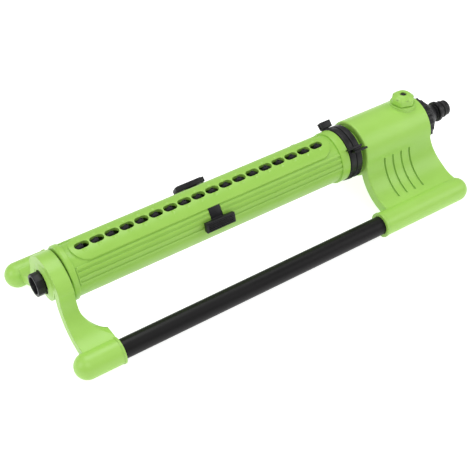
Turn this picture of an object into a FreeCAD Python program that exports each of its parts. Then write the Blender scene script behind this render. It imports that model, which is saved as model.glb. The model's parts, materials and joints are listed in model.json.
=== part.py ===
import FreeCAD, Part
import math
import os
import re
import sys

import Sketcher

from FreeCAD import Placement, Rotation, Vector

sys.path.append(os.path.join(FreeCAD.getHomePath(), "Mod", "PartDesign"))
from fcgear import fcgear, involute

# An oscillating lawn sprinkler. X runs along the spray tube towards the hose, Z is up and the
# origin is on the ground under the middle. Angles on the spray tube are measured from straight
# up, positive towards the front (-Y), which is a positive turn about X.

# name, size in mm or degrees, what it is
sizes = [
    ("axis_height", 55.8, "spray tube axis above the ground"),
    ("track_half", 66.9, "base tube axes, each side of the middle"),
    ("foot_axis", 11.5, "base tube axes above the ground"),
    ("foot_radius", 11.8, "round feet and sockets"),
    ("lip_radius", 12.3, "rim round each socket mouth"),
    ("lip_length", 2.0, "length of that rim"),
    ("tube_radius", 9.0, "base tubes, outside"),
    ("tube_wall", 1.2, "base tube wall"),
    ("slip_fit", 0.05, "radial clearance of pushed and turning fits"),
    ("clear_gap", 0.3, "clearance between neighbours that pass each other"),
    ("bracket_left", -220.5, "left face of the end bracket"),
    ("bracket_right", -206.3, "right face of its head"),
    ("left_foot_end", -220.2, "centre of the left feet's round ends"),
    ("left_socket", -189.0, "mouth of the left sockets"),
    ("socket_depth", 24.0, "how far a base tube goes in"),
    ("head_radius", 28.0, "round heads of bracket and housing"),
    ("bracket_hub", 18.0, "lower edge of the end bracket's head, from the axis"),
    ("crest_radius", 30.0, "flatter sweep over the bracket's head"),
    ("crest_drop", 8.5, "centre of that sweep below the axis"),
    ("bracket_depth", 9.0, "depth of the bracket's legs"),
    ("crown_height", 2.0, "raised middle of the bracket's left face"),
    ("edge_round", 1.2, "rounding along the moulded edges"),
    ("flare_radius", 34.0, "hollow sweep from head to foot"),
    ("leg_thickness", 11.0, "depth of the housing's legs from their outer sweep"),
    ("skin_wall", 3.0, "wall of bracket and housing"),
    ("spread_radius", 20.0, "sweep that widens the bracket's legs along X"),
    ("spread_top", 42.0, "height where that sweep starts"),
    ("housing_left", 106.6, "left face of the motor housing"),
    ("housing_right", 186.6, "right face at its head"),
    ("housing_foot", 192.6, "right face at its feet"),
    ("housing_bore", 25.0, "bore for the drive"),
    ("slant_top", 53.0, "height where the right face starts to slope outwards"),
    ("slant_foot", 27.0, "height where that slope ends"),
    ("right_socket", 94.0, "mouth of the right sockets"),
    ("right_foot_end", 190.2, "centre of the right feet's round ends"),
    ("groove_first", 127.0, "first side groove"),
    ("groove_pitch", 10.3, "spacing of the side grooves"),
    ("groove_width", 2.0, "width of a side groove"),
    ("groove_depth", 1.8, "depth of a side groove"),
    ("cover_left", -199.4, "left end of the spray tube cover"),
    ("cover_right", 79.3, "right end of the spray tube cover"),
    ("cover_radius", 23.8, "plain outside of the cover"),
    ("cover_wall", 2.0, "wall of the cover"),
    ("panel_radius", 25.4, "raised panel round the nozzles"),
    ("panel_left", -195.4, "left end of the panel"),
    ("panel_right", 75.1, "right end of the panel"),
    ("panel_half", 14.2, "half width of the panel"),
    ("tube_turn", 8.0, "the spray tube stands turned this far to the front"),
    ("rib_height", 0.8, "ribs along the cover"),
    ("rib_width", 2.3, "width of a rib"),
    ("rib_first", 41.5, "angle of the top rib"),
    ("rib_pitch", 11.1, "angle between ribs"),
    ("cap_left", -205.0, "left end of the spray tube's left cap"),
    ("cap_right", 88.1, "shoulder of the right cap"),
    ("cap_radius", 25.5, "rim of both caps"),
    ("drum_radius", 22.0, "drum that carries the swing rings"),
    ("drum_right", 105.9, "right end of the drum"),
    ("nozzle_first", -184.2, "first nozzle opening"),
    ("nozzle_pitch", 14.47, "spacing of the nozzles"),
    ("nozzle_radius", 3.1, "outside of a nozzle"),
    ("nozzle_fan", 2.2, "extra lean from one nozzle to the next, degrees"),
    ("nozzle_tip", 24.4, "nozzle tips, from the axis"),
    ("jet_radius", 0.6, "water jet hole"),
    ("opening_long", 13.2, "length of a nozzle opening"),
    ("opening_wide", 7.6, "width of a nozzle opening"),
    ("pipe_radius", 8.0, "water tube, outside"),
    ("pipe_bore", 6.5, "water tube, inside"),
    ("pipe_left", -220.0, "left end of the water tube"),
    ("pipe_right", 112.0, "right end of the water tube"),
    ("lever_middle", -61.3, "middle of the width levers"),
    ("stem_width", 12.0, "width of a lever's stem"),
    ("paddle_long", 30.0, "length of a lever's paddle"),
    ("paddle_radius", 30.4, "outside of a paddle"),
    ("paddle_inner", 26.4, "underside of a paddle"),
    ("paddle_angle", 19.0, "angle that a paddle covers"),
    ("front_paddle", 58.0, "upper edge of the front paddle, degrees"),
    ("rear_paddle", 58.0, "upper edge of the rear paddle, degrees"),
    ("ring_left", 88.6, "left end of the left swing ring"),
    ("ring_width", 6.6, "width of a swing ring"),
    ("ring_right", 95.6, "left end of the right swing ring"),
    ("ring_radius", 26.4, "outside of a swing ring"),
    ("tab_radius", 34.0, "tip of a ring's tab"),
    ("drive_left", 107.0, "front face of the gear case"),
    ("drive_radius", 24.7, "outside of the gear case"),
    ("lid_left", 144.0, "gear case lid"),
    ("gear_module", 0.6, "tooth size of the gears"),
    ("gear_spacing", 12.2, "distance between the two gear axles"),
    ("gear_width", 4.0, "width of a gear"),
    ("axle_radius", 1.5, "gear axles"),
    ("turbine_left", 152.0, "left end of the turbine"),
    ("knob_x", 170.6, "flow knob axis along X"),
    ("boss_top", 85.6, "top of the boss under the knob"),
    ("knob_top", 95.4, "top of the flow knob"),
    ("knob_radius", 11.3, "flow knob"),
    ("spindle_radius", 3.0, "valve spindle"),
    ("inlet_radius", 13.0, "threaded inlet spigot"),
    ("inlet_bore", 9.5, "bore of the inlet spigot"),
    ("inlet_end", 197.0, "end of the inlet spigot"),
    ("flange_radius", 20.6, "knurled skirt of the hose adapter"),
    ("nose_end", 232.0, "end of the hose nose"),
    ("nose_radius", 7.8, "tip of the hose nose"),
    ("nose_bore", 5.0, "water way through the hose nose"),
    ("plug_left", -230.5, "outer end of the cleaning plug"),
    ("plug_radius", 10.5, "cleaning plug across its corners"),
]
nozzle_total = 18
rib_total = 4
ring_grips = 6
adapter_grips = 20
wheel_teeth = 30
pinion_teeth = 10

doc = FreeCAD.newDocument("sprinkler")
dims = doc.addObject("Spreadsheet::Sheet", "dims")
for row, (alias, number, note) in enumerate(sizes, start=1):
    dims.set(f"A{row}", alias)
    dims.set(f"B{row}", str(number))
    dims.set(f"C{row}", note)
    dims.setAlias(f"B{row}", alias)
doc.recompute()
aliases = {alias for alias, number, note in sizes}
pieces = []


def formula(text):
    """A size formula in the sheet's words, as FreeCAD reads it."""
    def refer(word):
        return "dims." + word.group() if word.group() in aliases else word.group()
    return re.sub(r"[a-z_]+", refer, str(text))


def place(item, x, y, z, turn=Rotation()):
    item.Placement = Placement(Vector(), turn)
    for axis, text in zip("xyz", (x, y, z)):
        item.setExpression("Placement.Base." + axis, formula(text))
    return item


def along_x(angle=0):
    """Turns a part made along Z to run along X, with its start at this angle from the top."""
    lie = Rotation(Vector(0, 0, 1), Vector(0, -1, 0), Vector(1, 0, 0), "XYZ")
    return Rotation(Vector(1, 0, 0), angle) * lie


def along_y():
    return Rotation(Vector(1, 0, 0), -90)


def rod(name, radius, start, end, y="0", z="axis_height", first=0, sweep=360):
    """A bar along X. Less than a full sweep makes a wedge that starts at the angle first."""
    bar = doc.addObject("Part::Cylinder", name)
    bar.setExpression("Radius", formula(radius))
    bar.setExpression("Height", formula(f"({end}) - ({start})"))
    bar.Angle = sweep
    return place(bar, start, y, z, along_x(first))


def post(name, radius, x, y, low, high):
    bar = doc.addObject("Part::Cylinder", name)
    bar.setExpression("Radius", formula(radius))
    bar.setExpression("Height", formula(f"({high}) - ({low})"))
    return place(bar, x, y, low)


def taper(name, first_radius, last_radius, start, end, y="0", z="axis_height"):
    cone = doc.addObject("Part::Cone", name)
    cone.setExpression("Radius1", formula(first_radius))
    cone.setExpression("Radius2", formula(last_radius))
    cone.setExpression("Height", formula(f"({end}) - ({start})"))
    return place(cone, start, y, z, along_x())


def ball(name, radius, x, y, z):
    sphere = doc.addObject("Part::Sphere", name)
    sphere.setExpression("Radius", formula(radius))
    return place(sphere, x, y, z)


def hoop(name, middle_radius, wire_radius, x, y="0", z="axis_height"):
    ring = doc.addObject("Part::Torus", name)
    ring.setExpression("Radius1", formula(middle_radius))
    ring.setExpression("Radius2", formula(wire_radius))
    return place(ring, x, y, z, along_x())


def block(name, x, y, z):
    """A box between pairs of formulas along each axis."""
    box = doc.addObject("Part::Box", name)
    for side, (low, high) in zip(("Length", "Width", "Height"), (x, y, z)):
        box.setExpression(side, formula(f"({high}) - ({low})"))
    return place(box, x[0], y[0], z[0])


def join(name, *members):
    whole = doc.addObject("Part::MultiFuse", name)
    whole.Shapes = list(members)
    return whole


def cut(name, base, *tools):
    result = doc.addObject("Part::Cut", name)
    result.Base = base
    result.Tool = tools[0] if len(tools) == 1 else join(name + "_tools", *tools)
    return result


def shared(name, first_member, second_member):
    overlap = doc.addObject("Part::Common", name)
    overlap.Base = first_member
    overlap.Tool = second_member
    return overlap


def pipe(name, outer, inner, start, end, y="0", z="axis_height", first=0, sweep=360):
    outside = rod(name + "_outside", outer, start, end, y, z, first, sweep)
    inside = rod(name + "_inside", inner, f"({start}) - 1", f"({end}) + 1", y, z)
    return cut(name, outside, inside)


def turn_forward(item):
    """Turns a piece of the spray tube about the swing axis to where the tube stands."""
    return place(item, "0", "axis_height * sin(tube_turn)", "axis_height * (1 - cos(tube_turn))",
                 Rotation(Vector(1, 0, 0), dims.tube_turn))


def soften(name, base, radius, x, arcs):
    """Rounds the arcs of these radii that lie in the plane at x."""
    doc.recompute()
    chosen = []
    for number, edge in enumerate(base.Shape.Edges, start=1):
        box = edge.BoundBox
        if box.XLength > 0.01 or abs(box.XMin - x) > 0.01 or not isinstance(edge.Curve, Part.Circle):
            continue
        if any(abs(edge.Curve.Radius - arc) < 0.01 for arc in arcs):
            chosen.append((number, radius, radius))
    rounded = doc.addObject("Part::Fillet", name)
    rounded.Base = base
    rounded.Edges = chosen
    return rounded


def finish(item, label):
    """Marks an object as a sub-part of the sprinkler."""
    item.Label = label
    pieces.append(item)
    return item


def origin_part(body, role):
    return [part for part in body.Origin.OriginFeatures if part.Role == role][0]


def draw_polygon(profile, corners):
    """Closed outline whose corners are held at formulas measured from the sketch's origin."""
    total = len(corners)
    ring = [Vector(100 * math.cos(6.28 * n / total), 100 * math.sin(6.28 * n / total), 0)
            for n in range(total)]
    for n in range(total):
        profile.addGeometry(Part.LineSegment(ring[n], ring[(n + 1) % total]), False)
    for n in range(total):
        profile.addConstraint(Sketcher.Constraint("Coincident", n, 2, (n + 1) % total, 1))
    for n, corner in enumerate(corners):
        for kind, text in zip(("DistanceX", "DistanceY"), corner):
            mark = profile.addConstraint(Sketcher.Constraint(kind, -1, 1, n, 1, 1.0))
            profile.setExpression(f"Constraints[{mark}]", formula(text))


def turned(label, corners, y="0", z="axis_height"):
    """A piece turned about an axis along X, from its half outline of (x, radius) formulas."""
    body = doc.addObject("PartDesign::Body", label)
    profile = body.newObject("Sketcher::SketchObject", label + "_profile")
    profile.AttachmentSupport = (origin_part(body, "XZ_Plane"), [""])
    profile.MapMode = "FlatFace"
    draw_polygon(profile, corners)
    spin = body.newObject("PartDesign::Revolution", label + "_turning")
    spin.Profile = profile
    spin.ReferenceAxis = (origin_part(body, "X_Axis"), [""])
    spin.Angle = 360
    body.Tip = spin
    return place(body, "0", y, z)


def slab(label, corners, width):
    """A plate of this outline in X and Z, centred on the middle plane."""
    body = doc.addObject("PartDesign::Body", label)
    profile = body.newObject("Sketcher::SketchObject", label + "_profile")
    profile.AttachmentSupport = (origin_part(body, "XZ_Plane"), [""])
    profile.MapMode = "FlatFace"
    draw_polygon(profile, corners)
    thickness = body.newObject("PartDesign::Pad", label + "_pad")
    thickness.Profile = profile
    thickness.Midplane = True
    thickness.setExpression("Length", formula(width))
    body.Tip = thickness
    return body


def faceted(label, radius, corner_total, plane, length, x, y, z):
    """A prism with this many flats, standing on its origin plane."""
    body = doc.addObject("PartDesign::Body", label)
    profile = body.newObject("Sketcher::SketchObject", label + "_profile")
    profile.AttachmentSupport = (origin_part(body, plane), [""])
    profile.MapMode = "FlatFace"
    turns = [math.radians((n + 0.5) * 360 / corner_total) for n in range(corner_total)]
    draw_polygon(profile, [(f"{math.cos(turn):.6f} * ({radius})", f"{math.sin(turn):.6f} * ({radius})")
                           for turn in turns])
    height = body.newObject("PartDesign::Pad", label + "_pad")
    height.Profile = profile
    height.setExpression("Length", formula(length))
    body.Tip = height
    return place(body, x, y, z)


def legs(name, start, end, near, far):
    """The front and rear legs: quarter-round sweeps between two radii, hollow side outwards."""
    front = pipe(name + "_front", far, near, start, end, "-(head_radius + flare_radius)", first=180, sweep=90)
    rear = pipe(name + "_rear", far, near, start, end, "head_radius + flare_radius", first=90, sweep=90)
    return join(name, front, rear)


def feet(name, socket, rim_end, round_end):
    """Two round-ended sockets that hold the base tubes and stand on the ground."""
    members = []
    for side, sign in (("front", "-"), ("rear", "")):
        y = sign + "track_half"
        low, high = sorted((socket, round_end), key=lambda word: dims.get(word))
        members.append(rod(f"{name}_{side}", "foot_radius", low, high, y, "foot_axis"))
        members.append(ball(f"{name}_{side}_end", "foot_radius", round_end, y, "foot_axis"))
        low, high = (rim_end, socket) if rim_end.endswith("- lip_length") else (socket, rim_end)
        members.append(rod(f"{name}_{side}_rim", "lip_radius", low, high, y, "foot_axis"))
    return members


def socket_tools(name, start, end, screw_x):
    """Everything taken out of a pair of feet: tube sockets, screw holes and the flat underside."""
    tools = [block(name + "_ground", ("left_foot_end - 2 * foot_radius", "right_foot_end + 2 * foot_radius"),
                   ("-2 * track_half", "2 * track_half"), ("-foot_radius", "0"))]
    for side, sign in (("front", "-"), ("rear", "")):
        y = sign + "track_half"
        tools.append(rod(f"{name}_{side}_bore", "tube_radius + slip_fit", start, end, y, "foot_axis"))
        tools.append(post(f"{name}_{side}_screw", "1.25", screw_x, y, "-1", "foot_axis"))
        tools.append(post(f"{name}_{side}_head", "2.9", screw_x, y, "-1", "1.5"))
    return tools


def make_end_bracket():
    sides = legs("bracket_leg", "bracket_left", "bracket_right", "flare_radius", "flare_radius + bracket_depth")
    wings = legs("bracket_wing", "bracket_right - 1", "left_socket", "flare_radius", "flare_radius + skin_wall")
    hollows = legs("bracket_hollow", "bracket_left + skin_wall", "bracket_right - skin_wall",
                   "flare_radius + skin_wall", "flare_radius + bracket_depth + 1")
    sweep = doc.addObject("Part::Cylinder", "bracket_spread")
    sweep.setExpression("Radius", formula("spread_radius"))
    sweep.setExpression("Height", formula("4 * head_radius + 4 * flare_radius"))
    place(sweep, "bracket_right + spread_radius", "-2 * (head_radius + flare_radius)", "spread_top", along_y())
    above = block("bracket_above", ("bracket_right", "bracket_right + 2 * spread_radius"),
                  ("-2 * track_half", "2 * track_half"), ("spread_top", "2 * axis_height"))
    arch = rod("bracket_arch", "head_radius", "bracket_left", "bracket_right", first=-90, sweep=180)
    crest = rod("bracket_crest", "crest_radius", "bracket_left", "bracket_right", z="axis_height - crest_drop")
    hub = rod("bracket_hub_disc", "bracket_hub", "bracket_left", "bracket_right")
    recess = pipe("bracket_recess", "bracket_hub + 0.5", "pipe_radius + 2 * skin_wall",
                  "bracket_left + skin_wall", "bracket_right + 1", first=-90, sweep=180)
    crown = taper("bracket_crown", "plug_radius + 0.8", "bracket_hub - 0.5",
                  "bracket_left - crown_height", "bracket_left + 0.5")
    head = join("bracket_head", shared("bracket_top", arch, crest), hub)
    trimmed = cut("bracket_sides", join("bracket_swept", sides, head, wings), hollows, recess, sweep, above)
    whole = join("bracket_whole", trimmed, crown, *feet("left_foot", "left_socket",
                                                        "left_socket - lip_length", "left_foot_end"))
    bush_bore = rod("bracket_bore", "pipe_radius + skin_wall + slip_fit", "bracket_left - crown_height - 1",
                    "bracket_right + 1")
    tools = socket_tools("left", "left_socket - socket_depth", "left_socket + 1", "left_socket - 12")
    finish(cut("end_bracket_part", whole, bush_bore, *tools), "end_bracket")


def make_bracket_bush():
    inside = "pipe_radius + slip_fit"
    finish(turned("bracket_bush", [
        ("bracket_left", inside), ("bracket_left", "pipe_radius + skin_wall"),
        ("bracket_right", "pipe_radius + skin_wall"), ("bracket_right", "pipe_radius + 2 * skin_wall"),
        ("cap_left - clear_gap", "pipe_radius + 2 * skin_wall"), ("cap_left - clear_gap", inside)]),
        "bracket_bush")


def make_motor_housing():
    sides = legs("housing_leg", "housing_left", "housing_foot", "flare_radius", "flare_radius + leg_thickness")
    middle = "(housing_left + housing_right) / 2"
    near = "flare_radius + skin_wall"
    far = "flare_radius + leg_thickness + 1"
    hollows = [legs("housing_hollow_left", "housing_left + skin_wall", middle + " - skin_wall / 2", near, far),
               legs("housing_hollow_right", middle + " + skin_wall / 2", "housing_right - skin_wall", near, far)]
    head = rod("housing_head", "head_radius", "housing_left", "housing_foot")
    boss = post("housing_boss", "knob_radius + 0.9", "knob_x", "0", "axis_height + housing_bore", "boss_top")
    right_face = slab("housing_slope", [
        ("housing_right", "2 * axis_height"), ("housing_right", "slant_top"), ("housing_foot", "slant_foot"),
        ("housing_foot + 30", "slant_foot"), ("housing_foot + 30", "2 * axis_height")], "4 * head_radius")
    hollow_legs = cut("housing_sides", sides, *hollows)
    sloped = cut("housing_sloped", join("housing_solid", hollow_legs, head), right_face)
    spigot = rod("housing_spigot", "inlet_radius", "housing_right - skin_wall", "inlet_end")
    grooves = []
    for n in range(4):
        start = f"groove_first + {n} * groove_pitch"
        for side, first in (("-", 194), ("", 95)):
            grooves.append(pipe(f"groove_{n}_{first}", "flare_radius + groove_depth", "flare_radius - 2", start,
                                start + " + groove_width", side + "(head_radius + flare_radius)",
                                first=first, sweep=71))
    bore = rod("housing_bore_tool", "housing_bore", "housing_left - 1", "housing_right - skin_wall")
    water_way = rod("housing_inlet", "inlet_bore", "housing_right - 2 * skin_wall", "inlet_end + 1")
    spindle_way = post("housing_spindle_way", "spindle_radius + slip_fit", "knob_x", "0", "axis_height",
                       "boss_top + 1")
    seal_seat = post("housing_seal_seat", "spindle_radius + 1.8", "knob_x", "0", "boss_top - 1.9", "boss_top + 1")
    tools = socket_tools("right", "right_socket - 1", "right_socket + socket_depth", "right_socket + 12")
    skirt_recess = rod("housing_skirt_recess", "flange_radius + 2", "housing_right", "housing_foot + 1")
    whole = join("housing_whole", cut("housing_recessed", sloped, skirt_recess), boss, spigot, *feet(
        "right_foot", "right_socket", "right_socket + lip_length", "right_foot_end"))
    sharp = cut("motor_housing_sharp", whole, bore, water_way, spindle_way, seal_seat, *grooves, *tools)
    finish(soften("motor_housing_part", sharp, dims.edge_round, dims.housing_left,
                  (dims.head_radius, dims.flare_radius, dims.flare_radius + dims.leg_thickness)),
           "motor_housing")


def make_base_tubes():
    left = "left_socket - socket_depth + 1"
    right = "right_socket + socket_depth - 1"
    screws = []
    for side, sign in (("front", "-"), ("rear", "")):
        y = sign + "track_half"
        wall = pipe(side + "_tube_wall", "tube_radius", "tube_radius - tube_wall", left, right, y, "foot_axis")
        holes = []
        for end, x in (("left", "left_socket - 12"), ("right", "right_socket + 12")):
            holes.append(post(f"{side}_tube_hole_{end}", "1.25", x, y, "0", "foot_axis"))
            head = post(f"{side}_screw_head_{end}", "2.7", x, y, "0.3", "1.5")
            shank = post(f"{side}_screw_shank_{end}", "1.2", x, y, "1", "7")
            screws.append(join(f"{side}_screw_{end}", head, shank))
        finish(cut(side + "_base_tube_part", wall, *holes), side + "_base_tube")
    finish(join("tube_screw_set", *screws), "tube_screws")


def oval(name, x, low, high):
    """Upright cutter for one nozzle opening."""
    reach = "(opening_long - opening_wide) / 2"
    members = [block(name + "_middle", (f"{x} - {reach}", f"{x} + {reach}"),
                     ("-opening_wide / 2", "opening_wide / 2"), (low, high))]
    for n, sign in enumerate("-+"):
        members.append(post(f"{name}_end_{n}", "opening_wide / 2", f"{x} {sign} {reach}", "0", low, high))
    return join(name, *members)


def nozzle_x(n):
    return f"nozzle_first + {n} * nozzle_pitch"


def make_tube_cover():
    shell = pipe("cover_shell", "cover_radius", "cover_radius - cover_wall", "cover_left", "cover_right")
    plate = pipe("panel_ring", "panel_radius", "cover_radius - cover_wall", "panel_left", "panel_right",
                 first=-90, sweep=180)
    outline = join("panel_outline",
                   block("panel_middle", ("panel_left + panel_half", "panel_right - panel_half"),
                         ("-panel_half", "panel_half"), ("axis_height", "axis_height + 2 * panel_half")),
                   post("panel_left_end", "panel_half", "panel_left + panel_half", "0", "axis_height",
                        "axis_height + 2 * panel_half"),
                   post("panel_right_end", "panel_half", "panel_right - panel_half", "0", "axis_height",
                        "axis_height + 2 * panel_half"))
    ribs = []
    for n in range(rib_total):
        angle = dims.rib_first + n * dims.rib_pitch
        width = math.degrees(dims.rib_width / dims.cover_radius)
        for side in (1, -1):
            ribs.append(pipe(f"rib_{n}_{side + 1}", "cover_radius + rib_height", "cover_radius - cover_wall / 2",
                             "cover_left + 1.6", "cover_right", first=side * angle - width / 2, sweep=width))
    for side, first in (("front", dims.rib_first), ("rear", -dims.rib_first - 3 * dims.rib_pitch)):
        ribs.append(pipe("rib_end_" + side, "cover_radius + rib_height", "cover_radius - cover_wall / 2",
                         "cover_left + 0.8", "cover_left + 1.8", first=first, sweep=3 * dims.rib_pitch))
    whole = join("cover_whole", shell, shared("panel", plate, outline), *ribs)
    tools = []
    for n in range(nozzle_total):
        tools.append(oval(f"opening_{n}", nozzle_x(n), "axis_height + pipe_radius", "axis_height + 30"))
        for side in (-1, 1):
            lean = math.radians(12.5) * side
            tools.append(ball(f"dish_{n}_{side + 1}", "4.5", nozzle_x(n),
                              f"{math.sin(lean):.5f} * (panel_radius + 3.9)",
                              f"axis_height + {math.cos(lean):.5f} * (panel_radius + 3.9)"))
    stem_left = "lever_middle - stem_width / 2 - clear_gap"
    stem_right = "lever_middle + stem_width / 2 + clear_gap"
    for side, first in (("front", 10.5), ("rear", -95.5)):
        tools.append(pipe(f"stem_pocket_{side}", "cover_radius + 1", "cover_radius", stem_left, stem_right,
                          first=first, sweep=85))
        tools.append(pipe(f"lever_window_{side}", "cover_radius + 0.5", "cover_radius - 2 * cover_wall",
                          "lever_middle - 4.2", "lever_middle + 4.2", first=first if side == "front" else -41.5,
                          sweep=31))
    finish(turn_forward(cut("tube_cover_part", whole, *tools)), "tube_cover")


def make_end_caps():
    inside = "pipe_radius + slip_fit"
    spigot = "cover_radius - cover_wall - slip_fit"
    finish(turned("left_end_cap", [
        ("cap_left", inside), ("cap_left", "cap_radius - 1"), ("cap_left + 1", "cap_radius"),
        ("cover_left", "cap_radius"), ("cover_left", spigot), ("cover_left + 6", spigot),
        ("cover_left + 6", spigot + " - 2"), ("cover_left", spigot + " - 2"), ("cover_left", inside)]),
        "left_end_cap")
    bowl = turned("right_cap_turning_part", [
        ("cover_right - 6", inside), ("cover_right - 6", spigot), ("cover_right", spigot),
        ("cover_right", "cap_radius"), ("cap_right", "cap_radius"), ("cap_right", "drum_radius"),
        ("drum_right", "drum_radius"), ("drum_right", "drum_radius - 2.2"),
        ("cap_right - 4", "drum_radius - 2.2"), ("cap_right - 4", inside)])
    windows = [pipe("left_lug_window", "drum_radius + 1", "drum_radius - 4", "ring_left + 2", "ring_left + 6",
                    first=-92, sweep=82),
               pipe("right_lug_window", "drum_radius + 1", "drum_radius - 4", "ring_right + 2", "ring_right + 6",
                    first=10, sweep=82)]
    finish(cut("right_end_cap_part", bowl, *windows), "right_end_cap")


def make_water_tube():
    wall = pipe("water_wall", "pipe_radius", "pipe_bore", "pipe_left", "pipe_right")
    holes = [post(f"water_hole_{n}", "1.6", f"{nozzle_x(n)} - {lean_shift(n):.4f}", "0", "axis_height",
                  "axis_height + 2 * pipe_radius") for n in range(nozzle_total)]
    windows = [pipe(f"water_window_{n}", "pipe_radius + 1", "pipe_bore - 1", "lever_middle - 4.2",
                    "lever_middle + 4.2", first=first, sweep=31) for n, first in enumerate((10.5, -41.5))]
    intake = [post("intake_upright", "2.2", "pipe_right - 4", "0", "axis_height - 2 * pipe_radius",
                   "axis_height + 2 * pipe_radius")]
    finish(turn_forward(cut("water_tube_part", wall, *holes, *windows, *intake)), "water_tube")


def lean_of(n):
    """Lean of nozzle n towards its end of the sprinkler, in degrees."""
    return dims.nozzle_fan * (n - (nozzle_total - 1) / 2)


def lean_shift(n):
    """How far a nozzle's root lies behind its tip along X."""
    return (dims.nozzle_tip - dims.pipe_radius - 1) * math.tan(math.radians(lean_of(n)))


def make_nozzle_strip():
    strip = pipe("strip_saddle", "pipe_radius + 1.6", "pipe_radius", "nozzle_first - 6",
                 f"nozzle_first + {nozzle_total - 1} * nozzle_pitch + 6", first=-35, sweep=70)
    members = [strip]
    jets = []
    for n in range(nozzle_total):
        lean = lean_of(n)
        long_way = f"(nozzle_tip - pipe_radius - 1) / {math.cos(math.radians(lean)):.6f}"
        shapes = (("stem", "Part::Cylinder", "nozzle_radius", long_way + " - 2.2", 0),
                  ("jet", "Part::Cylinder", "jet_radius", long_way + " + 8", -4))
        for kind, form, radius, length, rise in shapes:
            item = doc.addObject(form, f"nozzle_{kind}_{n}")
            item.setExpression("Radius", formula(radius))
            item.setExpression("Height", formula(length))
            shift = lean_shift(n) - rise * math.tan(math.radians(lean))
            place(item, f"{nozzle_x(n)} - {shift:.5f}", "0", f"axis_height + pipe_radius + 1 + {rise}",
                  Rotation(Vector(0, 1, 0), lean))
            (members if kind == "stem" else jets).append(item)
        tip = doc.addObject("Part::Cone", f"nozzle_tip_{n}")
        tip.setExpression("Radius1", formula("nozzle_radius"))
        tip.setExpression("Radius2", formula("nozzle_radius - 1.3"))
        tip.Height = 2.2
        rise = dims.nozzle_tip - dims.pipe_radius - 1 - 2.2 * math.cos(math.radians(lean))
        shift = lean_shift(n) - rise * math.tan(math.radians(lean))
        place(tip, f"{nozzle_x(n)} - {shift:.5f}", "0", f"axis_height + pipe_radius + 1 + {rise:.5f}",
              Rotation(Vector(0, 1, 0), lean))
        members.append(tip)
    windows = [pipe(f"strip_window_{n}", "pipe_radius + 3", "pipe_radius - 1", "lever_middle - 4.4",
                    "lever_middle + 4.4", first=first, sweep=31) for n, first in enumerate((10.5, -41.5))]
    finish(turn_forward(cut("nozzle_strip_part", join("strip_whole", *members), *jets, *windows)), "nozzle_strip")


def make_width_lever(side, edge, sign, left, right, shutter_label):
    """A lever that lies on the cover and turns a shutter inside the water tube."""
    def arc(name, outer, inner, start, end, near, sweep):
        first = near if sign > 0 else -near - sweep
        return pipe(f"{side}_{name}", outer, inner, start, end, first=first, sweep=sweep)
    half = "lever_middle {} stem_width / 2"
    stem = arc("stem", "cover_radius + 0.8", "cover_radius + 0.2", half.format("-"), half.format("+"),
               edge - 38.5, 40.5)
    low = "lever_middle - paddle_long / 2"
    high = "lever_middle + paddle_long / 2"
    paddle = arc("paddle", "paddle_radius", "paddle_inner - 0.6", low, high, edge, dims.paddle_angle)
    neck = arc("neck", "paddle_inner", "cover_radius + 0.2", half.format("-"), half.format("+"), edge + 1, 8)
    rib_sweep = 1.3
    ribs = [arc(f"rib_{n}", "paddle_radius + 0.7", "paddle_inner", low + " + 2", high + " - 2",
                edge + 3 + 3 * n, rib_sweep) for n in range(5)]
    web = arc("web", "cover_radius + 0.3", "pipe_bore - 0.5", left, right, edge - 38.5, 4)
    finish(turn_forward(join(side + "_width_lever_part", stem, paddle, neck, web, *ribs)), side + "_width_lever")
    notch = arc("notch", "pipe_bore + 1", "pipe_bore - 0.5", left, right, edge - 38.5, 4)
    start, end = {"left_shutter": ("pipe_left + 28", "lever_middle - 0.2"),
                  "right_shutter": ("lever_middle + 0.2", "nozzle_first + 17 * nozzle_pitch + 8")}[shutter_label]
    sleeve = pipe(shutter_label + "_sleeve", "pipe_bore - 0.08", "pipe_bore - 1.3", start, end)
    port = pipe(shutter_label + "_port", "pipe_bore + 1", "pipe_bore - 3", start + " + 3", end + " - 7",
                first=-15, sweep=30)
    finish(turn_forward(cut(shutter_label + "_part", sleeve, port, notch)), shutter_label)


def make_swing_ring(label, start, tab_angle, tab_start, tab_end, tab_skew):
    end = f"{start} + ring_width"
    bore = "drum_radius + slip_fit"
    band = turned(label + "_band", [
        (start, bore), (start, "ring_radius - 0.6"), (f"{start} + 0.6", "ring_radius"),
        (f"{end} - 0.6", "ring_radius"), (end, "ring_radius - 0.6"), (end, bore)])
    root = pipe(label + "_tab_root", "ring_radius + 1.5", "ring_radius - 1", start, end,
                first=tab_angle - 5, sweep=10)
    plates = []
    for n, side in enumerate((-1, 1)):
        shift = f"{side * tab_skew}"
        plates.append(pipe(f"{label}_plate_{n}", "tab_radius", "ring_radius + 0.7", f"{tab_start} + {shift}",
                           f"{tab_end} + {shift}", first=tab_angle + 3.7 * side - 1.7, sweep=3.4))
    bridge = pipe(label + "_bridge", "tab_radius - 2.2", "ring_radius + 0.7", f"{tab_start} + 3.5",
                  f"{tab_end} - 3.5", first=tab_angle - 4, sweep=8)
    lug = pipe(label + "_lug", "drum_radius + 1", "drum_radius - 3.8", f"{start} + 2.3", f"{start} + 5.7",
               first=tab_angle - 3, sweep=6)
    grips = []
    for n in range(ring_grips):
        for side in (1, -1):
            grips.append(pipe(f"{label}_grip_{n}_{side + 1}", "ring_radius + 0.4", "ring_radius - 1",
                              f"{start} + 0.9", f"{end} - 0.9", first=side * (102 + 5 * n) - 1, sweep=2))
    finish(join(label + "_part", band, root, bridge, lug, *plates, *grips), label)


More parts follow.
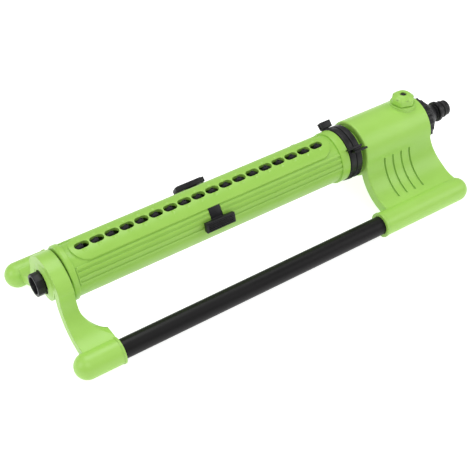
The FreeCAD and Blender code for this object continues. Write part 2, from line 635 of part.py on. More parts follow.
def make_gear(label, teeth, start, end, z, phase):
    """A toothed wheel about an axis along X, with one tooth pointing at the angle phase."""
    wire_maker = fcgear.FCWireBuilder()
    involute.CreateExternalGear(wire_maker, dims.gear_module, teeth, 20, addCoeff=0.9, shiftCoeff=-0.12)
    outline = Part.Wire([edge.toShape() for edge in wire_maker.wire])
    wheel = doc.addObject("Part::Feature", label)
    wheel.Shape = Part.Face(outline).extrude(Vector(0, 0, end - start))
    wheel.Placement = Placement(Vector(start, 0, z), along_x(phase))
    return wheel


def make_drive():
    """Turbine and three reduction gears, three to one at each mesh, down to the output gear."""
    high = dims.axis_height
    low = dims.axis_height - dims.gear_spacing
    first = dims.pipe_right + 0.3
    step = dims.gear_width + 1
    half_wheel = 180 / wheel_teeth
    width = dims.gear_width
    bore = "axle_radius + slip_fit"
    wheel = make_gear("output_wheel", wheel_teeth, first, first + width, high, 180)
    spigot = rod("output_spigot", "pipe_bore - slip_fit", "pipe_right - 3", f"{first + 0.1}")
    pivot = rod("output_pivot", bore, f"{first + 1}", f"{first + width + 1}")
    finish(cut("output_gear_part", join("output_gear_whole", wheel, spigot), pivot), "output_gear")
    pairs = (("third_gear", low, first, 0, 0), ("second_gear", high, first + step, 180, 180),
             ("first_gear", low, first + 2 * step, 0, 0))
    for label, z, x, pinion_phase, wheel_phase in pairs:
        pinion = make_gear(label + "_pinion", pinion_teeth, x, x + step, z, pinion_phase + 180 / pinion_teeth)
        wheel = make_gear(label + "_wheel", wheel_teeth, x + step, x + step + width, z, wheel_phase)
        hole = rod(label + "_hole", bore, f"{x - 1}", f"{x + step + width + 1}", "0", f"{z}")
        finish(cut(label + "_part", join(label + "_whole", pinion, wheel), hole), label)
    x = first + 3 * step
    pinion = make_gear("turbine_pinion", pinion_teeth, x, x + width, high, 180 + 180 / pinion_teeth)
    shaft = rod("turbine_shaft", "axle_radius + 1.1", f"{x + width - 0.5}", "turbine_left + 8")
    hub = rod("turbine_hub", "4", "turbine_left", "turbine_left + 8")
    disc = rod("turbine_disc", "11", "turbine_left", "turbine_left + 1.2")
    blades = []
    for n in range(10):
        blades.append(pipe(f"turbine_blade_{n}", "11", "3.5", "turbine_left + 1", "turbine_left + 8",
                           first=36 * n, sweep=7))
    hole = rod("turbine_hole", bore, f"{x - 1}", "turbine_left + 9")
    finish(cut("turbine_part", join("turbine_whole", pinion, shaft, hub, disc, *blades), hole), "turbine")
    finish(rod("main_axle_pin", "axle_radius", f"{first + 1.5}", "turbine_left + 12"), "main_axle")
    finish(rod("lay_axle_pin", "axle_radius", "drive_left + 1.5", "lid_left + 1.5", "0",
               "axis_height - gear_spacing"), "lay_axle")


def make_gear_case():
    shell = rod("case_shell", "drive_radius", "drive_left", "lid_left")
    cavity = rod("case_cavity", "drive_radius - 2", "drive_left + 3", "lid_left + 1")
    pillars = []
    holes = []
    screws = []
    lid_holes = []
    for n, angle in enumerate((0, 100, 260)):
        turn = math.radians(angle)
        y = f"{-math.sin(turn):.6f} * (drive_radius - 4)"
        z = f"axis_height + {math.cos(turn):.6f} * (drive_radius - 4)"
        pillars.append(rod(f"case_pillar_{n}", "3", "drive_left + 2", "lid_left", y, z))
        holes.append(rod(f"case_hole_{n}", "1.25", "lid_left - 10", "lid_left + 1", y, z))
        lid_holes.append(rod(f"lid_hole_{n}", "1.7", "lid_left - 1", "lid_left + 4", y, z))
        head = rod(f"case_screw_head_{n}", "2.6", "lid_left + 3", "lid_left + 4.6", y, z)
        shank = rod(f"case_screw_shank_{n}", "1.2", "lid_left - 8", "lid_left + 3.1", y, z)
        screws.append(join(f"case_screw_{n}", head, shank))
    body = join("case_whole", cut("case_cup", shell, cavity), *pillars)
    centre = rod("case_centre", "pipe_radius + 1.8", "drive_left - 1", "drive_left + 4")
    seat = rod("case_seat", "axle_radius + slip_fit", "drive_left + 1.5", "drive_left + 4", "0",
               "axis_height - gear_spacing")
    finish(cut("gear_case_part", body, centre, seat, *holes), "gear_case")
    lid = rod("lid_disc", "drive_radius", "lid_left", "lid_left + 3")
    shaft_way = rod("lid_shaft_way", "axle_radius + 1.2", "lid_left - 1", "lid_left + 4")
    lay_seat = rod("lid_lay_seat", "axle_radius + slip_fit", "lid_left - 1", "lid_left + 1.5", "0",
                   "axis_height - gear_spacing")
    finish(cut("gear_case_lid_part", lid, shaft_way, lay_seat, *lid_holes), "gear_case_lid")
    finish(join("case_screw_set", *screws), "case_screws")


def make_reverse_lever():
    """Two-armed lever about the water tube, pushed by the lugs of the swing rings."""
    hub = pipe("lever_hub", "pipe_radius + 1.5", "pipe_radius + clear_gap", "drive_left - 3", "drive_left + 5")
    plate = pipe("lever_plate", "drum_radius - 4.4", "pipe_radius + 1", "drive_left - 3", "drive_left - 1.4",
                 first=-12, sweep=24)
    finger = pipe("lever_finger", "drum_radius - 2.6", "drum_radius - 5", "ring_left + 1.5", "drive_left - 1.4",
                  first=-2.5, sweep=5)
    arm = pipe("lever_arm", "pipe_radius + 8", "pipe_radius + 1", "drive_left + 3.4", "drive_left + 5",
               first=86, sweep=8)
    finish(join("reverse_lever_part", hub, plate, finger, arm), "reverse_lever")
    finish(pipe("reverse_spring_strip", "pipe_radius + 9.2", "pipe_radius + 8.6", "drive_left + 3.4",
                "drive_left + 5", first=60, sweep=60), "reverse_spring")


def make_water_inlet():
    plate = rod("stator_disc", "drive_radius", "turbine_left + 11", "turbine_left + 14")
    seat = rod("stator_seat", "axle_radius + slip_fit", "turbine_left + 10", "turbine_left + 12.5")
    jets = []
    for n in range(4):
        turn = math.radians(90 * n + 45)
        jets.append(rod(f"stator_jet_{n}", "1.6", "turbine_left + 10", "turbine_left + 15",
                        f"{math.sin(turn) * 8:.5f}", f"axis_height + {math.cos(turn) * 8:.5f}"))
    finish(cut("stator_plate_part", plate, seat, *jets), "stator_plate")
    seat_left = "turbine_left + 14.3"
    valve = rod("valve_disc", "drive_radius", seat_left, "knob_x + 6.5")
    port = rod("valve_port", "3.4", seat_left + " - 1", "knob_x + 8")
    well = post("valve_well", "spindle_radius + slip_fit", "knob_x", "0", "axis_height - 8",
                "axis_height + drive_radius + 1")
    finish(cut("valve_seat_part", valve, port, well), "valve_seat")
    mesh = turned("filter_cup", [
        ("housing_right - 1", "inlet_bore - 1"), ("housing_right - 1", "inlet_bore - slip_fit"),
        ("inlet_end - 0.6", "inlet_bore - slip_fit"), ("inlet_end - 0.6", "inlet_bore - 3"),
        ("inlet_end - 8", "0"), ("inlet_end - 9", "0"), ("inlet_end - 2", "inlet_bore - 1")])
    finish(mesh, "filter_screen")
    finish(turned("inlet_seal", [
        ("inlet_end", "inlet_bore"), ("inlet_end", "inlet_radius"), ("inlet_end + 2", "inlet_radius"),
        ("inlet_end + 2", "inlet_bore")]), "inlet_seal")


def make_hose_adapter():
    skirt = "inlet_end + 0.6"
    rest = [(skirt, "flange_radius"), ("inlet_end + 1.6", "flange_radius - 1.2"),
            ("inlet_end + 3", "flange_radius - 1.6"), ("inlet_end + 3", "flange_radius - 4"),
            ("inlet_end + 8.5", "flange_radius - 6.6"), ("inlet_end + 8.5", "flange_radius - 8.4"),
            ("nose_end - 21", "flange_radius - 10.8"), ("nose_end - 17.5", "nose_radius - 0.4"),
            ("nose_end - 15.5", "nose_radius - 0.4"), ("nose_end - 15.5", "nose_radius + 2.5"),
            ("nose_end - 12.5", "nose_radius + 2.5"), ("nose_end - 12.5", "nose_radius"),
            ("nose_end - 7.6", "nose_radius"), ("nose_end - 7.6", "nose_radius - 1.5"),
            ("nose_end - 5", "nose_radius - 1.5"), ("nose_end - 5", "nose_radius"),
            ("nose_end - 0.8", "nose_radius"), ("nose_end", "nose_radius - 0.8"), ("nose_end", "nose_bore"),
            ("inlet_end + 2", "nose_bore"), ("inlet_end + 2", "inlet_radius + 0.1"),
            ("housing_right + 0.6", "inlet_radius + 0.1"), ("housing_right + 0.6", "flange_radius")]
    grips = []
    for n in range(adapter_grips):
        turn = math.radians(360 * n / adapter_grips)
        grips.append(rod(f"adapter_grip_{n}", "1.3", "housing_right + 1.2", "inlet_end + 0.4",
                         f"{math.sin(turn):.6f} * (flange_radius - 0.1)",
                         f"axis_height + {math.cos(turn):.6f} * (flange_radius - 0.1)"))
    finish(join("hose_adapter_part", turned("adapter_turning", rest), *grips), "hose_adapter")
    finish(hoop("nose_ring", "nose_radius - 0.3", "1.15", "nose_end - 6.3"), "nose_o_ring")


def make_flow_valve():
    flats = faceted("knob_flats", "knob_radius + 0.7", 6, "XY_Plane", "knob_top - boss_top - clear_gap",
                    "knob_x", "0", "boss_top + clear_gap")
    flats.Placement.Rotation = Rotation(Vector(0, 0, 1), 14)
    wall = post("knob_wall", "knob_radius", "knob_x", "0", "boss_top", "knob_top - 4")
    crest = doc.addObject("Part::Cone", "knob_crest")
    crest.setExpression("Radius1", formula("knob_radius"))
    crest.setExpression("Radius2", formula("knob_radius - 5"))
    crest.Height = 4
    place(crest, "knob_x", "0", "knob_top - 4")
    recess = post("knob_recess", "3.1", "knob_x", "0", "knob_top - 2.6", "knob_top + 1")
    stem_hole = post("knob_stem_hole", "2.55", "knob_x", "0", "boss_top - 1", "knob_top - 4.6")
    screw_hole = post("knob_screw_hole", "1.55", "knob_x", "0", "boss_top", "knob_top")
    form = shared("knob_form", flats, join("knob_outline", wall, crest))
    finish(cut("flow_knob_part", form, recess, stem_hole, screw_hole), "flow_knob")
    body = post("spindle_body", "spindle_radius", "knob_x", "0", "axis_height - 7", "boss_top - 2.2")
    neck = post("spindle_neck", "2.5", "knob_x", "0", "axis_height", "knob_top - 4.8")
    port = rod("spindle_port", "2", "knob_x - 10", "knob_x + 10")
    thread = post("spindle_thread", "1.3", "knob_x", "0", "knob_top - 8", "knob_top")
    finish(cut("flow_spindle_part", join("spindle_whole", body, neck), port, thread), "flow_spindle")
    head = post("knob_screw_head", "2.8", "knob_x", "0", "knob_top - 2.6", "knob_top - 1.2")
    shank = post("knob_screw_shank", "1.25", "knob_x", "0", "knob_top - 7.5", "knob_top - 2.5")
    slot = block("knob_screw_slot", ("knob_x - 4", "knob_x + 4"), ("-0.4", "0.4"),
                 ("knob_top - 1.7", "knob_top"))
    finish(cut("knob_screw_part", join("knob_screw_whole", head, shank), slot), "knob_screw")
    seal = doc.addObject("Part::Torus", "spindle_ring")
    seal.Radius1 = 3.5
    seal.Radius2 = 0.85
    finish(place(seal, "knob_x", "0", "boss_top - 0.95"), "spindle_seal")


def make_cleaning_plug():
    face = "bracket_left - crown_height"
    grip = faceted("plug_grip", "plug_radius", 10, "YZ_Plane", face + " - plug_left - clear_gap",
                   "plug_left", "0", "axis_height")
    hollow = rod("plug_hollow", "plug_radius - 2.6", "plug_left - 1", "plug_left + 6")
    spigot = rod("plug_spigot", "pipe_bore - 0.08", "bracket_left - 1", "pipe_left + 12")
    groove = pipe("plug_groove", "pipe_bore + 1", "pipe_bore - 1.6", "pipe_left + 6", "pipe_left + 8.2")
    needle_hole = rod("plug_needle_hole", "0.5", "pipe_left + 8", "pipe_left + 13")
    collar = rod("plug_collar", "pipe_bore + 0.9", face + " - 1", "bracket_left - clear_gap")
    whole = join("plug_whole", grip, spigot, collar)
    finish(cut("cleaning_plug_part", whole, hollow, groove, needle_hole), "cleaning_plug")
    finish(rod("needle_wire", "0.45", "pipe_left + 8.5", "pipe_left + 24"), "cleaning_needle")
    finish(hoop("plug_ring", "pipe_bore - 0.85", "0.7", "pipe_left + 7.1"), "plug_seal")


make_end_bracket()
make_bracket_bush()
make_motor_housing()
make_base_tubes()
make_tube_cover()
make_end_caps()
make_water_tube()
make_nozzle_strip()
make_width_lever("front", dims.front_paddle, 1, "lever_middle - 3.6", "lever_middle - 0.3", "left_shutter")
make_width_lever("rear", dims.rear_paddle, -1, "lever_middle + 0.3", "lever_middle + 3.6", "right_shutter")
make_swing_ring("left_swing_ring", "ring_left", -50, "87.6", "99.6", 0)
make_swing_ring("right_swing_ring", "ring_right", 50.8, "87.6", "102.6", 2.5)
make_drive()
make_gear_case()
make_reverse_lever()
make_water_inlet()
make_hose_adapter()
make_flow_valve()
make_cleaning_plug()
doc.recompute()

problems = [item.Name for item in doc.Objects if "Invalid" in item.State or "Error" in item.State]
for piece in pieces:
    if piece.Shape.isNull() or not piece.Shape.isValid():
        problems.append(piece.Label + " has no valid shape")
if problems:
    raise SystemExit("not built: " + ", ".join(problems))

os.makedirs("parts", exist_ok=True)
for piece in pieces:
    piece.Shape.exportStep(f"parts/{piece.Label}.step")
    print(piece.Label, len(piece.Shape.Solids), round(piece.Shape.Volume))
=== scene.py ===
import bpy
import json
import math
from mathutils import Matrix, Vector


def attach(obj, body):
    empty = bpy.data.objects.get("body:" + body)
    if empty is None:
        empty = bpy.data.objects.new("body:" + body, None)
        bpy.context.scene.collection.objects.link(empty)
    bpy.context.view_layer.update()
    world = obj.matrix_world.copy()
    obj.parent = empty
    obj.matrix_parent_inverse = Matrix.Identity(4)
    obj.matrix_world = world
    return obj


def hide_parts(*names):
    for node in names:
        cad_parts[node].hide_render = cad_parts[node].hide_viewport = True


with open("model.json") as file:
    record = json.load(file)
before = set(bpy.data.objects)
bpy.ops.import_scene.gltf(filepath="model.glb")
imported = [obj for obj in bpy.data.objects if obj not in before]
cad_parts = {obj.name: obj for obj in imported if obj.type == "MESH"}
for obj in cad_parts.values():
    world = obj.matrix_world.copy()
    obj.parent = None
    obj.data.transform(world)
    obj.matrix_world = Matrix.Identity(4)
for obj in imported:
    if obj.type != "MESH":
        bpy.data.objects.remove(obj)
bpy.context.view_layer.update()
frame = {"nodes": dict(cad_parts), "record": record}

# an oscillating lawn sprinkler, seen from above its left front
scene = bpy.context.scene
print("packed frame loaded:", len(frame["nodes"]), "nodes")

# where the camera stands, in metres and degrees, with its lens in millimetres
cameraSetup = {
    "place": (-0.44354, -0.62058, 0.66173),
    "turn": -33.84,
    "lift": 41.03,
    "roll": -0.55,
    "lens": 80.47,
    "clip": (0.01, 20),
}


def makeCamera(setup):
    turn, lift, roll = (math.radians(setup[key]) for key in ("turn", "lift", "roll"))
    side = Vector((math.cos(turn), math.sin(turn), 0))
    back = Vector((math.sin(turn) * math.cos(lift),
                   -math.cos(turn) * math.cos(lift),
                   math.sin(lift)))
    up = back.cross(side)
    right = side * math.cos(roll) + up * math.sin(roll)
    top = up * math.cos(roll) - side * math.sin(roll)
    camera = bpy.data.objects.new("studioCamera", bpy.data.cameras.new("studioCamera"))
    scene.collection.objects.link(camera)
    turned = Matrix((right, top, back)).transposed().to_4x4()
    camera.matrix_world = Matrix.Translation(setup["place"]) @ turned
    camera.data.lens = setup["lens"]
    camera.data.clip_start, camera.data.clip_end = setup["clip"]
    scene.camera = camera


# soft lights above a white floor: name, place, size, power
studioSetup = {
    "skyStrength": 0.42,
    "lights": [
        ("keyLight", (-0.5, -1.0, 1.5), 1.1, 7.5),
        ("topLight", (0.15, 0.5, 1.7), 1.3, 13.5),
        ("leftLight", (-1.5, 0.2, 0.9), 1.0, 6.5),
        ("rightLight", (1.3, -0.9, 0.9), 1.1, 7),
    ],
    "aim": (0, 0, 0.03),
    "floorSize": 14,
    "floorHeight": -0.0004,
    "floorPaint": (0.5, 0.5, 0.5, 1),
    "floorRoughness": 0.9,
    "floorSpecular": 0.1,
    "floorGlow": 0.85,
}


def makeStudio(setup):
    world = bpy.data.worlds.new("studioSky")
    world.use_nodes = True
    sky = world.node_tree.nodes["Background"]
    sky.inputs["Color"].default_value = (1, 1, 1, 1)
    sky.inputs["Strength"].default_value = setup["skyStrength"]
    scene.world = world
    for name, place, size, power in setup["lights"]:
        lamp = bpy.data.lights.new(name, "AREA")
        lamp.shape = "DISK"
        lamp.size = size
        lamp.energy = power
        holder = bpy.data.objects.new(name, lamp)
        holder.location = place
        away = Vector(place) - Vector(setup["aim"])
        holder.rotation_euler = away.to_track_quat("Z", "Y").to_euler()
        scene.collection.objects.link(holder)
    bpy.ops.mesh.primitive_plane_add(size=setup["floorSize"], location=(0, 0, setup["floorHeight"]))
    floor = bpy.context.object
    floor.name = "studioFloor"
    surface = bpy.data.materials.new("studioFloorPaint")
    surface.use_nodes = True
    paint = surface.node_tree.nodes["Principled BSDF"]
    paint.inputs["Base Color"].default_value = setup["floorPaint"]
    paint.inputs["Roughness"].default_value = setup["floorRoughness"]
    paint.inputs["Specular IOR Level"].default_value = setup["floorSpecular"]
    paint.inputs["Emission Color"].default_value = (1, 1, 1, 1)
    paint.inputs["Emission Strength"].default_value = setup["floorGlow"]
    floor.data.materials.append(surface)


makeCamera(cameraSetup)
makeStudio(studioSetup)
scene.view_settings.view_transform = "Standard"
print("camera and studio ready")


def addNode(tree, kind, **values):
    made = tree.nodes.new(kind)
    for name, value in values.items():
        if name in made.inputs:
            made.inputs[name].default_value = value
        else:
            setattr(made, name, value)
    return made


def remap(tree, source, span, result):
    made = addNode(tree, "ShaderNodeMapRange")
    made.inputs["From Min"].default_value, made.inputs["From Max"].default_value = span
    made.inputs["To Min"].default_value, made.inputs["To Max"].default_value = result
    tree.links.new(source, made.inputs["Value"])
    return made.outputs["Result"]


def noise(tree, mapping, scale, detail):
    made = addNode(tree, "ShaderNodeTexNoise", Scale=scale, Detail=detail)
    tree.links.new(mapping.outputs["Vector"], made.inputs["Vector"])
    return made.outputs["Fac"]


# what every finish shares: spans of noise values, how much finer each noise is than the clouds, and its detail
finishSetup = {
    "cloudDetail": 3, "cloudSpan": (0.3, 0.7),
    "rubFiner": 9, "rubDetail": 4, "rubSpan": (0.3, 0.6), "rubShare": (0.35, 1),
    "edgeTurn": (0.98, 0.8), "edgeSamples": 6,
    "smudgeFiner": 4, "smudgeDetail": 5, "smudgeSpan": (0.3, 0.7),
    "grainDetail": 2, "metal": 0, "specular": 0.5,
}


def cloudTone(tree, mapping, look, setup):
    # slow clouds in the colour, as pigment settles in a moulding
    tone = addNode(tree, "ShaderNodeValToRGB")
    colours = (look["shade"], look["colour"])
    for stop, position, colour in zip(tone.color_ramp.elements, setup["cloudSpan"], colours):
        stop.position = position
        stop.color = (*colour, 1)
    tree.links.new(noise(tree, mapping, look["cloudScale"], setup["cloudDetail"]), tone.inputs["Fac"])
    return tone.outputs["Color"]


def edgeWear(tree, mapping, rounding, look, setup):
    # how far an edge is rubbed pale, in patches, where the rounded normal turns from the flat one
    facing = addNode(tree, "ShaderNodeNewGeometry")
    turning = addNode(tree, "ShaderNodeVectorMath", operation="DOT_PRODUCT")
    tree.links.new(rounding.outputs["Normal"], turning.inputs[0])
    tree.links.new(facing.outputs["Normal"], turning.inputs[1])
    rub = noise(tree, mapping, look["cloudScale"] * setup["rubFiner"], setup["rubDetail"])
    patchy = addNode(tree, "ShaderNodeMath", operation="MULTIPLY")
    edges = remap(tree, turning.outputs["Value"], setup["edgeTurn"], (0, look["wear"]))
    tree.links.new(edges, patchy.inputs[0])
    tree.links.new(remap(tree, rub, setup["rubSpan"], setup["rubShare"]), patchy.inputs[1])
    return patchy.outputs["Value"]


def mouldGrain(tree, mapping, rounding, look, setup):
    relief = addNode(tree, "ShaderNodeBump")
    relief.inputs["Strength"].default_value = look["grainStrength"]
    relief.inputs["Distance"].default_value = look["grainDepth"]
    tree.links.new(noise(tree, mapping, look["grainScale"], setup["grainDetail"]), relief.inputs["Height"])
    tree.links.new(rounding.outputs["Normal"], relief.inputs["Normal"])
    return relief.outputs["Normal"]


def blendColours(tree, factor, first, second):
    mixed = addNode(tree, "ShaderNodeMix", data_type="RGBA")
    tree.links.new(factor, mixed.inputs["Factor"])
    tree.links.new(first, mixed.inputs["A"])
    mixed.inputs["B"].default_value = (*second, 1)
    return mixed.outputs["Result"]


def mouldedFinish(look, setup=finishSetup):
    made = bpy.data.materials.new(look["name"])
    made.use_nodes = True
    tree = made.node_tree
    shader = tree.nodes["Principled BSDF"]
    place = addNode(tree, "ShaderNodeTexCoord")
    mapping = addNode(tree, "ShaderNodeMapping")
    mapping.inputs["Scale"].default_value = look.get("stretch", (1, 1, 1))
    tree.links.new(place.outputs["Object"], mapping.inputs["Vector"])

    # edges are rounded in the shading
    rounding = addNode(tree, "ShaderNodeBevel", samples=setup["edgeSamples"], Radius=look["edgeRadius"])
    worn = edgeWear(tree, mapping, rounding, look, setup)
    tone = cloudTone(tree, mapping, look, setup)
    tree.links.new(blendColours(tree, worn, tone, look["wornColour"]), shader.inputs["Base Color"])
    tree.links.new(mouldGrain(tree, mapping, rounding, look, setup), shader.inputs["Normal"])

    # handling marks in the gloss
    smudge = noise(tree, mapping, look["cloudScale"] * setup["smudgeFiner"], setup["smudgeDetail"])
    gloss = (look["roughness"] - look["roughSpread"], look["roughness"] + look["roughSpread"])
    tree.links.new(remap(tree, smudge, setup["smudgeSpan"], gloss), shader.inputs["Roughness"])

    shader.inputs["Metallic"].default_value = look.get("metal", setup["metal"])
    shader.inputs["Specular IOR Level"].default_value = look.get("specular", setup["specular"])
    return made


limeCasing = {"name": "limeCasing", "colour": (0.345, 0.620, 0.105), "shade": (0.315, 0.580, 0.090),
              "wornColour": (0.52, 0.78, 0.25), "wear": 0.45, "cloudScale": 22, "roughness": 0.36,
              "roughSpread": 0.05, "edgeRadius": 0.0011, "grainScale": 1500, "grainStrength": 0.22,
              "grainDepth": 0.0001}
limeTube = dict(limeCasing, name="limeTube", colour=(0.315, 0.580, 0.085), shade=(0.285, 0.545, 0.072),
                edgeRadius=0.0005)
limeKnob = dict(limeCasing, name="limeKnob", cloudScale=45, edgeRadius=0.0012)
blackMoulding = {"name": "blackMoulding", "colour": (0.010, 0.010, 0.011), "shade": (0.006, 0.006, 0.007),
                 "wornColour": (0.06, 0.06, 0.06), "wear": 0.6, "cloudScale": 40, "roughness": 0.40,
                 "specular": 0.32, "roughSpread": 0.07, "edgeRadius": 0.0006, "grainScale": 2200,
                 "grainStrength": 0.3, "grainDepth": 0.0001}
softNozzle = dict(blackMoulding, name="softNozzle", colour=(0.012, 0.010, 0.015), shade=(0.008, 0.007, 0.010),
                  roughness=0.55, specular=0.35, edgeRadius=0.0004)
tubePaint = {"name": "tubePaint", "colour": (0.009, 0.008, 0.009), "shade": (0.005, 0.005, 0.005),
             "wornColour": (0.08, 0.07, 0.065), "wear": 0.3, "cloudScale": 30, "roughness": 0.42,
             "specular": 0.2, "roughSpread": 0.07, "edgeRadius": 0.0003, "grainScale": 900,
             "grainStrength": 0.2, "grainDepth": 0.00008, "stretch": (0.08, 1, 1)}
plainSteel = {"name": "plainSteel", "colour": (0.62, 0.62, 0.60), "shade": (0.45, 0.45, 0.44),
              "wornColour": (0.8, 0.8, 0.78), "wear": 0.4, "cloudScale": 120, "roughness": 0.3,
              "roughSpread": 0.1, "edgeRadius": 0.0002, "grainScale": 2500, "grainStrength": 0.15,
              "grainDepth": 0.00005, "metal": 1}
darkScrew = dict(plainSteel, name="darkScrew", colour=(0.10, 0.10, 0.10), shade=(0.06, 0.06, 0.06),
                 wornColour=(0.4, 0.4, 0.38))
sealRubber = dict(softNozzle, name="sealRubber", colour=(0.018, 0.018, 0.018), shade=(0.012, 0.012, 0.012))
gearAcetal = {"name": "gearAcetal", "colour": (0.78, 0.77, 0.71), "shade": (0.70, 0.69, 0.63),
              "wornColour": (0.9, 0.9, 0.86), "wear": 0.3, "cloudScale": 60, "roughness": 0.4,
              "roughSpread": 0.06, "edgeRadius": 0.0001, "grainScale": 2000, "grainStrength": 0.15,
              "grainDepth": 0.00005}
innerGrey = dict(blackMoulding, name="innerGrey", colour=(0.07, 0.07, 0.075), shade=(0.05, 0.05, 0.055))
drawnTube = dict(plainSteel, name="drawnTube", stretch=(0.1, 1, 1), roughness=0.36)
filterMesh = dict(plainSteel, name="filterMesh", grainScale=1200, grainStrength=0.9)

finishes = {
    "green_casing": mouldedFinish(limeCasing), "green_tube": mouldedFinish(limeTube),
    "green_knob": mouldedFinish(limeKnob), "black_plastic": mouldedFinish(blackMoulding),
    "soft_nozzles": mouldedFinish(softNozzle), "black_tube": mouldedFinish(tubePaint),
    "steel": mouldedFinish(plainSteel), "dark_screw": mouldedFinish(darkScrew),
    "seal_rubber": mouldedFinish(sealRubber), "gear_plastic": mouldedFinish(gearAcetal),
    "inner_plastic": mouldedFinish(innerGrey), "water_pipe": mouldedFinish(drawnTube),
    "filter_mesh": mouldedFinish(filterMesh),
}
slotOf = {row["node"]: row["material_slot"] for row in frame["record"]["subparts"]}
for node, carried in frame["nodes"].items():
    carried.data.materials.clear()
    carried.data.materials.append(finishes[slotOf[node]])
print("finishes on", len(slotOf), "nodes")


def clearSelection():
    bpy.ops.object.select_all(action="DESELECT")


# a face looks along an axis when its normal's share of that axis passes this
facingShare = 0.9


def pickFaces(piece, wanted):
    # selects the faces that pass the test, and leaves the piece in edit mode
    bpy.ops.object.mode_set(mode="EDIT")
    bpy.ops.mesh.select_mode(type="FACE")
    bpy.ops.mesh.select_all(action="DESELECT")
    bpy.ops.object.mode_set(mode="OBJECT")
    for face in piece.data.polygons:
        face.select = wanted(face)
    bpy.ops.object.mode_set(mode="EDIT")


def pushFaces(move):
    bpy.ops.mesh.extrude_region_move(TRANSFORM_OT_translate={"value": move})


def settle(piece):
    # the piece's place goes into its mesh
    clearSelection()
    piece.select_set(True)
    bpy.context.view_layer.objects.active = piece
    bpy.ops.object.transform_apply(location=True, rotation=True, scale=True)


def joinPieces(members, name):
    clearSelection()
    for member in members:
        member.select_set(True)
    bpy.context.view_layer.objects.active = members[0]
    bpy.ops.object.join()
    whole = bpy.context.object
    whole.name = name
    return whole


# edges that a mould leaves round: radius in metres, and the least turn in degrees that counts as an edge
softEdges = {
    "left_end_cap": (0.0006, 30), "right_end_cap": (0.0004, 30), "flow_knob": (0.0008, 25),
    "front_width_lever": (0.0005, 32), "rear_width_lever": (0.0005, 32), "left_swing_ring": (0.0004, 32),
    "right_swing_ring": (0.0004, 32), "cleaning_plug": (0.0005, 25), "hose_adapter": (0.0004, 30),
}
# distances in metres and turns in degrees
softenSetup = {"mergeWithin": 0.000001, "flatTurn": 0.5, "steps": 3, "smoothTurn": 35}
bodyOf = {node: body for body, nodes in frame["record"]["behaviour"]["bodies"].items() for node in nodes}


def softenNode(node, radius, turn, setup=softenSetup):
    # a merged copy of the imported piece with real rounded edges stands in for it
    source = frame["nodes"][node]
    clearSelection()
    source.select_set(True)
    bpy.context.view_layer.objects.active = source
    bpy.ops.object.duplicate()
    soft = bpy.context.object
    words = node.split("_")
    soft.name = words[0] + "".join(word.capitalize() for word in words[1:])
    for key in list(soft.keys()):
        del soft[key]
    bpy.ops.object.mode_set(mode="EDIT")
    bpy.ops.mesh.select_all(action="SELECT")
    bpy.ops.mesh.remove_doubles(threshold=setup["mergeWithin"])
    bpy.ops.mesh.dissolve_limited(angle_limit=math.radians(setup["flatTurn"]))
    bpy.ops.object.mode_set(mode="OBJECT")
    rounding = soft.modifiers.new("roundedEdges", "BEVEL")
    rounding.limit_method = "ANGLE"
    rounding.angle_limit = math.radians(turn)
    rounding.width = radius
    rounding.segments = setup["steps"]
    rounding.use_clamp_overlap = False
    bpy.ops.object.modifier_apply(modifier=rounding.name)
    bpy.ops.object.mode_set(mode="EDIT")
    bpy.ops.mesh.select_all(action="SELECT")
    bpy.ops.mesh.remove_doubles(threshold=setup["mergeWithin"])
    bpy.ops.mesh.quads_convert_to_tris(quad_method="BEAUTY", ngon_method="BEAUTY")
    bpy.ops.object.mode_set(mode="OBJECT")
    bpy.ops.object.shade_smooth_by_angle(angle=math.radians(setup["smoothTurn"]))
    soft.data.materials.clear()
    soft.data.materials.append(finishes[slotOf[node]])
    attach(soft, bodyOf[node])
    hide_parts(node)
    return soft


for node, (radius, turn) in softEdges.items():
    soft = softenNode(node, radius, turn)
    print("rounded:", soft.name, len(soft.data.polygons), "faces")

# soft jets: heights are measured from the middle of the spray tube, in metres and degrees
jetSetup = {
    "count": 18, "first": -0.1842, "pitch": 0.01447, "fan": 2.2, "tubeTurn": 8, "axisHeight": 0.0558,
    "footHeight": 0.0100, "ledgeHeight": 0.0214, "neckHeight": 0.0241, "tipHeight": 0.0262,
    "radius": 0.0031, "footStretch": 1.75, "tipInset": 0.0008, "boreInset": 0.0009, "boreDepth": 0.004,
    "saddleInner": 0.0081, "saddleWall": 0.0015, "saddleHalf": 35, "saddleEnd": 0.006,
    "sides": 24, "saddleSides": 96, "tipTaper": 0.78, "domeShare": 0.8,
    "mergeWithin": 0.00001, "smoothTurn": 40,
}


def makeJet(setup):
    clearSelection()
    ledge, neck = setup["ledgeHeight"], setup["neckHeight"]
    bpy.ops.mesh.primitive_cylinder_add(vertices=setup["sides"], radius=setup["radius"], depth=neck - ledge,
                                        location=(0, 0, (neck + ledge) / 2))
    jet = bpy.context.object
    jet.name = "jetMaster"
    settle(jet)
    # the shoulders slope out to a long foot, which goes down to the strip
    pickFaces(jet, lambda face: face.normal.z < -facingShare)
    bpy.ops.transform.resize(value=(setup["footStretch"], 1, 1))
    pushFaces((0, 0, setup["footHeight"] - ledge))
    # domed tip with the bore in it
    pickFaces(jet, lambda face: face.normal.z > facingShare)
    bpy.ops.transform.resize(value=(setup["tipTaper"], setup["tipTaper"], 1))
    dome = setup["tipHeight"] - neck
    bpy.ops.mesh.inset(thickness=setup["tipInset"], depth=dome * setup["domeShare"])
    bpy.ops.mesh.inset(thickness=setup["boreInset"], depth=dome * (1 - setup["domeShare"]))
    pushFaces((0, 0, -setup["boreDepth"]))
    bpy.ops.object.mode_set(mode="OBJECT")
    return jet


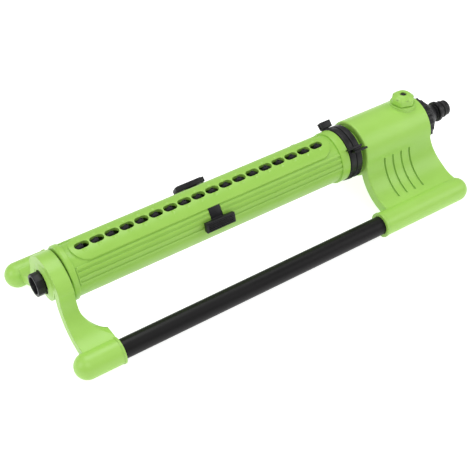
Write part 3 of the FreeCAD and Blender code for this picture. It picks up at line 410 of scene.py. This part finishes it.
def makeSaddle(setup):
    # the strip that the jets stand on, curved over the water tube
    last = setup["first"] + (setup["count"] - 1) * setup["pitch"]
    low, high = setup["first"] - setup["saddleEnd"], last + setup["saddleEnd"]
    outer = setup["saddleInner"] + setup["saddleWall"]
    clearSelection()
    bpy.ops.mesh.primitive_cylinder_add(vertices=setup["saddleSides"], radius=outer, depth=high - low,
                                        location=((low + high) / 2, 0, 0), rotation=(0, math.pi / 2, 0))
    saddle = bpy.context.object
    saddle.name = "jetSaddle"
    settle(saddle)
    pickFaces(saddle, lambda face: abs(face.normal.x) > facingShare)
    bpy.ops.mesh.delete(type="ONLY_FACE")
    lean = math.radians(setup["saddleHalf"])
    for side in (1, -1):
        bpy.ops.mesh.select_all(action="SELECT")
        bpy.ops.mesh.bisect(plane_co=(0, 0, 0), plane_no=(0, side * math.cos(lean), -math.sin(lean)),
                            clear_outer=True)
    bpy.ops.object.mode_set(mode="OBJECT")
    wall = saddle.modifiers.new("saddleWall", "SOLIDIFY")
    wall.thickness = setup["saddleWall"]
    wall.offset = -1
    bpy.ops.object.modifier_apply(modifier=wall.name)
    return saddle


def makeJetStrip(setup):
    jet = makeJet(setup)
    members = [makeSaddle(setup)]
    for number in range(setup["count"]):
        clearSelection()
        jet.select_set(True)
        bpy.context.view_layer.objects.active = jet
        bpy.ops.object.duplicate()
        copy = bpy.context.object
        lean = math.radians(setup["fan"] * (number - (setup["count"] - 1) / 2))
        tip = Vector((0, 0, setup["tipHeight"]))
        bpy.ops.transform.rotate(value=lean, orient_axis="Y", center_override=tip)
        bpy.ops.transform.translate(value=(setup["first"] + number * setup["pitch"], 0, 0))
        settle(copy)
        members.append(copy)
    bpy.data.objects.remove(jet)
    strip = joinPieces(members, "jetStrip")
    strip.location = (0, 0, setup["axisHeight"])
    strip.rotation_euler = (math.radians(setup["tubeTurn"]), 0, 0)
    settle(strip)
    bpy.ops.object.mode_set(mode="EDIT")
    bpy.ops.mesh.select_all(action="SELECT")
    bpy.ops.mesh.remove_doubles(threshold=setup["mergeWithin"])
    bpy.ops.mesh.normals_make_consistent(inside=False)
    bpy.ops.object.mode_set(mode="OBJECT")
    bpy.ops.object.shade_smooth_by_angle(angle=math.radians(setup["smoothTurn"]))
    strip.data.materials.clear()
    strip.data.materials.append(finishes["soft_nozzles"])
    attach(strip, "spray_tube")
    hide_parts("nozzle_strip")
    return strip


jetStrip = makeJetStrip(jetSetup)
print("jets:", jetSetup["count"], "on one strip,", len(jetStrip.data.polygons), "faces")
